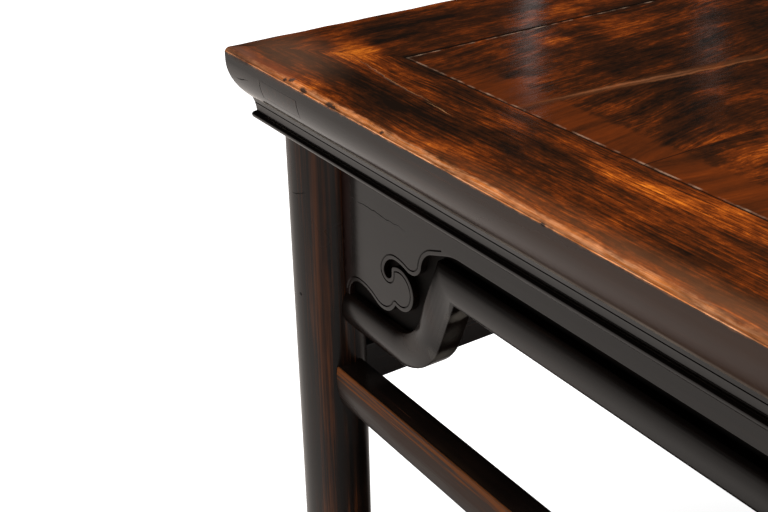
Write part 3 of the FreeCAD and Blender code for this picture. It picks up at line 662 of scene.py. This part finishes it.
for side, outward in sides.items():
    rail = openCopy(f"top_rail_{side}", f"rail_{side}")
    softenEdges(rail, rails["soften"], chosen=lambda point: point.z > rails["top"] * mm)
    for face in rail.data.polygons:
        face.select = face.normal.z > finishing["facing"] and face.center.z > rails["top"] * mm
    bpy.ops.object.mode_set(mode="EDIT")
    bpy.ops.mesh.select_mode(type="FACE")
    inner = outward * (topLook["half"] - rails["flat"]) * mm
    bpy.ops.mesh.bisect(plane_co=inner, plane_no=outward)  # the flat ends here, so the wear stays outside it
    bpy.ops.mesh.select_all(action="DESELECT")
    bpy.ops.object.mode_set(mode="OBJECT")
    axis = 1 if outward.x else 0
    inset, lowest, shortest = rails["edge"]
    for edge in rail.data.edges:
        ends = [rail.data.vertices[v].co for v in edge.vertices]
        span = abs(ends[0][axis] - ends[1][axis])
        outer = min(max(abs(end.x), abs(end.y)) for end in ends)
        isHigh = min(end.z for end in ends) > lowest * mm
        edge.select = span > shortest * mm and outer > (topLook["half"] - inset) * mm and isHigh
    bpy.ops.object.mode_set(mode="EDIT")
    bpy.ops.mesh.select_mode(type="EDGE")
    bpy.ops.mesh.subdivide(number_cuts=rails["cuts"])
    bpy.ops.object.mode_set(mode="OBJECT")
    arris = rail.vertex_groups.new(name="arris")
    inset, lowest = rails["arris"]
    for point in rail.data.vertices:
        reach = max(abs(point.co.x), abs(point.co.y))
        if reach > (topLook["half"] - inset) * mm and point.co.z > lowest * mm:
            arris.add([point.index], 1.0, "REPLACE")
    dents = bpy.data.textures.new(f"dents_{side}", "CLOUDS")
    dents.noise_scale = rails["dent"] * mm
    worn = rail.modifiers.new("worn", "DISPLACE")
    worn.texture = dents
    worn.texture_coords = "LOCAL"
    worn.vertex_group = "arris"
    worn.mid_level = 1.0  # only ever inwards
    worn.strength = rails["wear"] * mm
    bpy.ops.object.modifier_apply(modifier="worn")
    finish, second = (railAlong, bareAlong) if axis else (railAcross, bareAcross)
    settle(rail, f"top_rail_{side}", finish, second, lambda face: face.normal.z < finishing["under"])
    turned = [corner.vector.copy() for corner in rail.data.corner_normals]
    out, up = [v * mm for v in rails["curve"]]
    for face in rail.data.polygons:  # the moulding is shaded as the true curve, tenon ends too
        lean = Vector((face.normal.x, face.normal.y, 0))
        isStraight = min(abs(lean.x), abs(lean.y)) < rails["straight"]
        if face.center.z < up and lean.length > rails["upright"] and isStraight:
            facing = Vector((round(lean.normalized().x), round(lean.normalized().y), 0))
            if face.center.dot(facing) > rails["moulding"] * mm:
                for corner in face.loop_indices:
                    point = rail.data.vertices[rail.data.loops[corner].vertex_index].co
                    outPart = facing * (point - facing * out).dot(facing)
                    turned[corner] = (outPart + Vector((0, 0, point.z - up))).normalized()
    rail.data.normals_split_custom_set(turned)
print("rails done")

# Boards of the panel: polished above, bare below
boards = {
    "soften": 0.5,
    "jointRoom": 2,  # mm to the sides of the joints, where nothing is softened
    "bare": 0.3,  # faces that look up less than this have no polish
    "grain": [  # turn, and which stretch of the figure shows
        (84, (0.0, 0.0, 0.10)),
        (95, (0.7, 0.4, 0.20)),
        (88, (0.3, 0.9, 0.40)),
    ],
    "swirl": 0.05,
    "streaks": 0.4,
    "figure": [
        # middle mm, turn about z, half sizes mm, lighter or darker
        ((-185, -290, 849), 0, (50, 42, 9), -0.08),
        ((-110, -322, 849), 0, (65, 36, 9), 0.05),
        ((-338, -268, 849), 0, (24, 14, 9), 0.14),
        ((-338, -197, 849), 0, (14, 30, 9), 0.10),
        ((-275, -250, 849), 0, (16, 60, 9), -0.10),
        ((-262, -130, 849), 0, (60, 60, 9), -0.07),
    ],
    "marks": [
        # middle mm, turn about y and z, half sizes mm, softness, share, colour
        ((-230, -262, 849.6), (0, -84), (95, 4.0, 9), 0.9, 0.26, "5c341a"),  # pale streaks of sapwood
        ((-235, -300, 849.6), (0, -84), (52, 1.4, 9), 0.9, 0.36, "70401e"),
        ((-222, -225, 849.6), (0, -83), (60, 1.4, 9), 0.9, 0.36, "70401e"),
    ],
}
offJoints = lambda point: abs(abs(point.x) - topLook["seam"] * mm) > boards["jointRoom"] * mm
swirl, streaks, figure, marks = [boards[key] for key in ("swirl", "streaks", "figure", "marks")]
for index, (turn, shift) in enumerate(boards["grain"], 1):
    board = openCopy(f"panel_board_{index}", f"board_{index}")
    softenEdges(board, boards["soften"], chosen=offJoints)
    polished = makeTopWood(f"polishedElmBoard{index}", turn, shift, swirl, streaks, figure, marks)
    settle(board, f"panel_board_{index}", polished, bareAlong, lambda face: face.normal.z < boards["bare"])
print("boards done")

# Aprons: a fine line is cut beside every carved edge. One is carved, the others are turned copies
aprons = {
    "soften": 0.7,
    "lip": 3.7,  # mm from the carved edge to the line
    "slack": 0.12,  # mm by which the line may come nearer to another edge
    "line": 0.75,  # mm, half its width
    "lift": 0.1,  # mm from the face out to its middle
    "top": 789,  # mm, the strip covers what is higher
    "carved": (264, 396),  # mm from the middle, where the line runs
    "spacing": (0.6, 0.5),  # mm between points of the outline, and at least between those of the line
    "fan": 0.15,  # turn between points round an inner corner
    "part": 4,  # mm, a wider gap parts the line in two
    "fewest": 6,  # points of a line
    "ground": 424.8,  # mm from the middle, behind it the sunk ground and the back are in painted shade
    "brown": -0.06,
    "stretch": [(0.2, 0.1, 0), (0.5, 0.3, 0)],  # of the figure that shows: front and back, sides
    "marks": [
        # middle mm, turn about y and z, half sizes mm, softness, share, colour
        ((-346, -429, 743.8), (0, 0), (34, 5, 0.4), 0.3, 0.85, "050404"),  # a shrinkage crack
        ((-391, -429, 735), (0, 0), (7, 6, 70), 0.7, 0.35, "4a1c12"),  # painted reflection of the leg: reddish brown on the apron beside it
    ],
}
brown, (acrossShift, alongShift) = aprons["brown"], aprons["stretch"]
apronAcross = makeLacquer("darkLacquerFrontApron", grainWay["across"], acrossShift, brown, marks=aprons["marks"])
apronAlong = makeLacquer("darkLacquerSideApron", grainWay["along"], alongShift, brown)
apron = openCopy("apron_front", "carved_apron_front")
flats = [face for face in apron.data.polygons if face.normal.y < -finishing["facing"]]
raised = max(flats, key=lambda face: face.area)
rim = [apron.data.vertices[v].co.copy() for v in raised.vertices]  # runs round the raised face
faceY = rim[0].y
rimEdges = list(zip(rim, rim[1:] + rim[:1]))
inwards = [Vector((0, -1, 0)).cross(end - start).normalized() for start, end in rimEdges]
pointGap, lineGap = [v * mm for v in aprons["spacing"]]
outline = []
for (start, end), inward, turned in zip(rimEdges, inwards, inwards[1:] + inwards[:1]):
    steps = max(1, round((end - start).length / pointGap))
    outline += [(start.lerp(end, (step + 0.5) / steps), inward) for step in range(steps)]
    fan = int(inward.angle(turned) / aprons["fan"])
    outline += [(end, inward.slerp(turned, (step + 1) / (fan + 1))) for step in range(fan)]  # round an inner corner
known = kdtree.KDTree(len(outline))
for index, (point, inward) in enumerate(outline):
    known.insert(point, index)
known.balance()
inner, outer = [v * mm for v in aprons["carved"]]
runs = [[]]
for point, inward in outline:
    place = point + inward * aprons["lip"] * mm
    isClear = known.find(place)[2] > (aprons["lip"] - aprons["slack"]) * mm
    if isClear and inner < abs(point.x) < outer and place.z < aprons["top"] * mm:
        if runs[-1] and (runs[-1][-1] - place).length > aprons["part"] * mm:
            runs.append([])
        if not runs[-1] or (runs[-1][-1] - place).length > lineGap:
            runs[-1].append(place)
softenEdges(apron, aprons["soften"])
path = bpy.data.curves.new("graver", "CURVE")
path.dimensions = "3D"
path.bevel_depth = aprons["line"] * mm
path.bevel_resolution = 0
path.use_fill_caps = True
for run in runs:
    if len(run) > aprons["fewest"]:
        spline = path.splines.new("POLY")
        spline.points.add(len(run) - 1)
        for target, place in zip(spline.points, run):
            target.co = (place.x, faceY - aprons["lift"] * mm, place.z, 1)
bpy.ops.object.select_all(action="DESELECT")
graver = bpy.data.objects.new("graver", path)
scene.collection.objects.link(graver)
graver.select_set(True)
bpy.context.view_layer.objects.active = graver
bpy.ops.object.convert(target="MESH")
graver.select_set(False)
apron.select_set(True)
bpy.context.view_layer.objects.active = apron
cut = apron.modifiers.new("cut", "BOOLEAN")
cut.object = graver
cut.solver = "EXACT"
cut.use_self = True
bpy.ops.object.modifier_apply(modifier="cut")
bpy.data.objects.remove(graver)
print("apron lines:", [len(run) for run in runs], "faces", len(apron.data.polygons))
isGround = lambda face: max(abs(face.center.x), abs(face.center.y)) < aprons["ground"] * mm
for turns, side in enumerate(sides):
    piece = apron
    if turns:
        bpy.ops.object.select_all(action="DESELECT")
        piece = bpy.data.objects.new(f"carved_apron_{side}", apron.data.copy())
        scene.collection.objects.link(piece)
        piece.select_set(True)
        bpy.context.view_layer.objects.active = piece
        piece.rotation_euler = (0, 0, turns * math.pi / 2)
        bpy.ops.object.transform_apply(location=False, rotation=True, scale=False)
    finish = apronAlong if turns % 2 else apronAcross
    # the sunk ground and the back take the painted shade
    settle(piece, f"apron_{side}", finish, paintedShade, isGround)
print("aprons done")

# Edge strips under the rails, with a graver's line along the upper part
strips = {
    "soften": 0.4,
    "line": (805.2, 0.5, 0.6),  # mm: height, half width, depth
    "near": (0.01, 1.5),  # mm, points of the line: up and down, and in from the outermost
}
for side, outward in sides.items():
    strip = openCopy(f"edge_strip_{side}", f"strip_{side}")
    softenEdges(strip, strips["soften"])
    level, half, depth = [v * mm for v in strips["line"]]
    bpy.ops.object.mode_set(mode="EDIT")
    for cutLevel in (level - half, level, level + half):
        bpy.ops.mesh.select_all(action="SELECT")
        bpy.ops.mesh.bisect(plane_co=(0, 0, cutLevel), plane_no=(0, 0, 1))
    bpy.ops.object.mode_set(mode="OBJECT")
    upDown, inset = [v * mm for v in strips["near"]]
    onLine = [point for point in strip.data.vertices if abs(point.co.z - level) < upDown]
    outer = max(point.co.dot(outward) for point in onLine)
    for point in onLine:
        if point.co.dot(outward) > outer - inset:
            point.co -= outward * depth
    finish = apronAlong if outward.x else apronAcross
    isBack = lambda face: face.normal.dot(outward) < finishing["back"]
    # the back takes the painted shade
    settle(strip, f"edge_strip_{side}", finish, paintedShade, isBack)
print("strips done")

# Hump stretchers: rubbed a little at the bends, with painted highlights in grey under the front one and in its inner
# corner
humps = {
    "soften": 0.8,
    "brown": -0.02,
    "stretch": [(0.7, 0.1, 0), (0.9, 0.3, 0)],
    "look": {**lacquer, "ior": 1.40},
    "marks": [
        # middle mm, turn about y and z, half sizes mm, softness, share, colour
        ((-281, -433, 700), (-68, 0), (22, 10, 7), 0.6, 0.2, "5c3a2c"),
        ((-300, -433, 655), (0, 0), (16, 10, 9), 0.6, 0.2, "5c4636"),
        ((-258, -420, 697), (-70, 0), (6, 9, 5), 0.5, 0.5, "9c978e"),  # painted highlight: the floor's light, grey on the underside
        ((-262, -422, 672), (-70, 0), (22, 9, 6), 0.8, 0.16, "8c8880"),
        ((-273, -422, 653), (-50, 0), (12, 10, 6), 0.6, 0.5, "8c8880"),
        ((-301, -436, 667), (-38, 0), (10, 6, 2.5), 0.7, 0.3, "a09a92"),  # and a painted highlight in the inner corner
        ((-288, -436, 678), (-55, 0), (7, 6, 2), 0.7, 0.2, "a09a92"),
    ],
}
brown, look, (acrossShift, alongShift) = humps["brown"], humps["look"], humps["stretch"]
humpAcross = makeLacquer("darkLacquerFrontHump", grainWay["across"], acrossShift, brown, look, marks=humps["marks"])
humpAlong = makeLacquer("darkLacquerSideHump", grainWay["along"], alongShift, brown, look)
for side, outward in sides.items():
    hump = openCopy(f"hump_stretcher_{side}", f"hump_{side}")
    softenEdges(hump, humps["soften"])
    finish = humpAlong if outward.x else humpAcross
    isBack = lambda face: face.normal.dot(outward) < finishing["back"]
    # the back takes the painted shade
    settle(hump, f"hump_stretcher_{side}", finish, paintedShade, isBack)
print("humps done")

# Straight stretchers: feet have rubbed them bare along the upper front edge
bars = {
    "soften": 0.8,
    "brown": 0.02,
    "stretch": [(0.4, 0.1, 0), (0.1, 0.3, 0)],
    "look": {**lacquer, "streak": (130, 2.6), "ior": 1.40},
    "ridge": {
        "front": (437, 439),  # mm from the middle, only the front face is rubbed
        "ragged": (60, 14),  # mm by which streaks and patches move the rub up and down
        "rubs": [(552, 570, 0.6, "4a2c19"), (574, 581, 0.9, "a45a1e")],  # from and to height mm, share, colour
        "rough": 0.75,
    },
    "marks": [((-230, -438, 562), (0, 0), (150, 12, 16), 0.8, 0.4, "5a4030")],
}
brown, look, ridge, (acrossShift, alongShift) = [bars[key] for key in ("brown", "look", "ridge", "stretch")]
barAcross = makeLacquer("rubbedLacquerFrontBar", grainWay["across"], acrossShift, brown, look, ridge, bars["marks"])
barAlong = makeLacquer("rubbedLacquerSideBar", grainWay["along"], alongShift, brown, look, ridge)
for side, outward in sides.items():
    bar = openCopy(f"straight_stretcher_{side}", f"bar_{side}")
    softenEdges(bar, bars["soften"])
    settle(bar, f"straight_stretcher_{side}", barAlong if outward.x else barAcross)
print("bars done")

# Legs: thin lacquer with the brown wood showing in upright streaks
legs = {
    "soften": 0.6,
    "brown": 0.04,
    "stretch": (0.0, 0.2, 0.4),
    "look": {
        **lacquer,
        "ramp": [(0.30, "0c0908"), (0.48, "17100d"), (0.60, "3a2012"), (0.76, "7a4119")],
        "streak": (220, 3.5),
        "patch": 120,
        "rough": (0.16, 0.28),
        "ior": 1.42,
    },
    "marks": [
        # middle mm, turn about y and z, half sizes mm, softness, share, colour
        ((-420.5, -455, 741), (12, 0), (8, 6, 0.5), 0.3, 0.85, "050404"),  # a crack
        ((-424, -456, 650), (0, 0), (1.7, 4, 1.7), 0.3, 0.8, "050404"),  # a small knot
    ],
    "figure": [
        # middle mm, turn about z, half sizes mm, browner or darker
        ((-405, -446.5, 640), 40, (16, 7, 260), 0.11),
        ((-412, -452, 520), 52, (12, 5, 170), 0.08),
        ((-397.5, -431, 440), 0, (5, 8, 130), 0.06),
    ],
}
brown, look, marks, figure = [legs[key] for key in ("brown", "look", "marks", "figure")]
legLacquer = makeLacquer(
    "streakedLacquerLeg", grainWay["upright"], legs["stretch"], brown, look, marks=marks, figure=figure
)
for place in ("front_left", "front_right", "back_left", "back_right"):
    leg = openCopy(f"leg_{place}", f"round_leg_{place}")
    softenEdges(leg, legs["soften"])
    settle(leg, f"leg_{place}", legLacquer)
print("legs done")

# Battens and pins keep their solids and get their own wood
pins = {  # whittled bamboo: pale, with close upright lines, drawn coarser than they are so that they show
    "ramp": [(0.3, "7d5f37"), (0.5, "a58452"), (0.75, "c6a873")],
    "streak": (40, 0.6),
    "patch": 30,
    "rough": 0.6,
    "specular": 0.4,
}
bamboo = makeMattWood("whittledBamboo", pins, grainWay["upright"], (0.3, 0.2, 0.1))
for name, finish in (
    ("panel_batten_front", bareAcross),
    ("panel_batten_back", bareAcross),
    ("frame_corner_pins", bamboo),
    ("edge_strip_pins", bamboo),
):
    nodes[name].data.materials.clear()
    nodes[name].data.materials.append(finish)
print("battens and pins done")
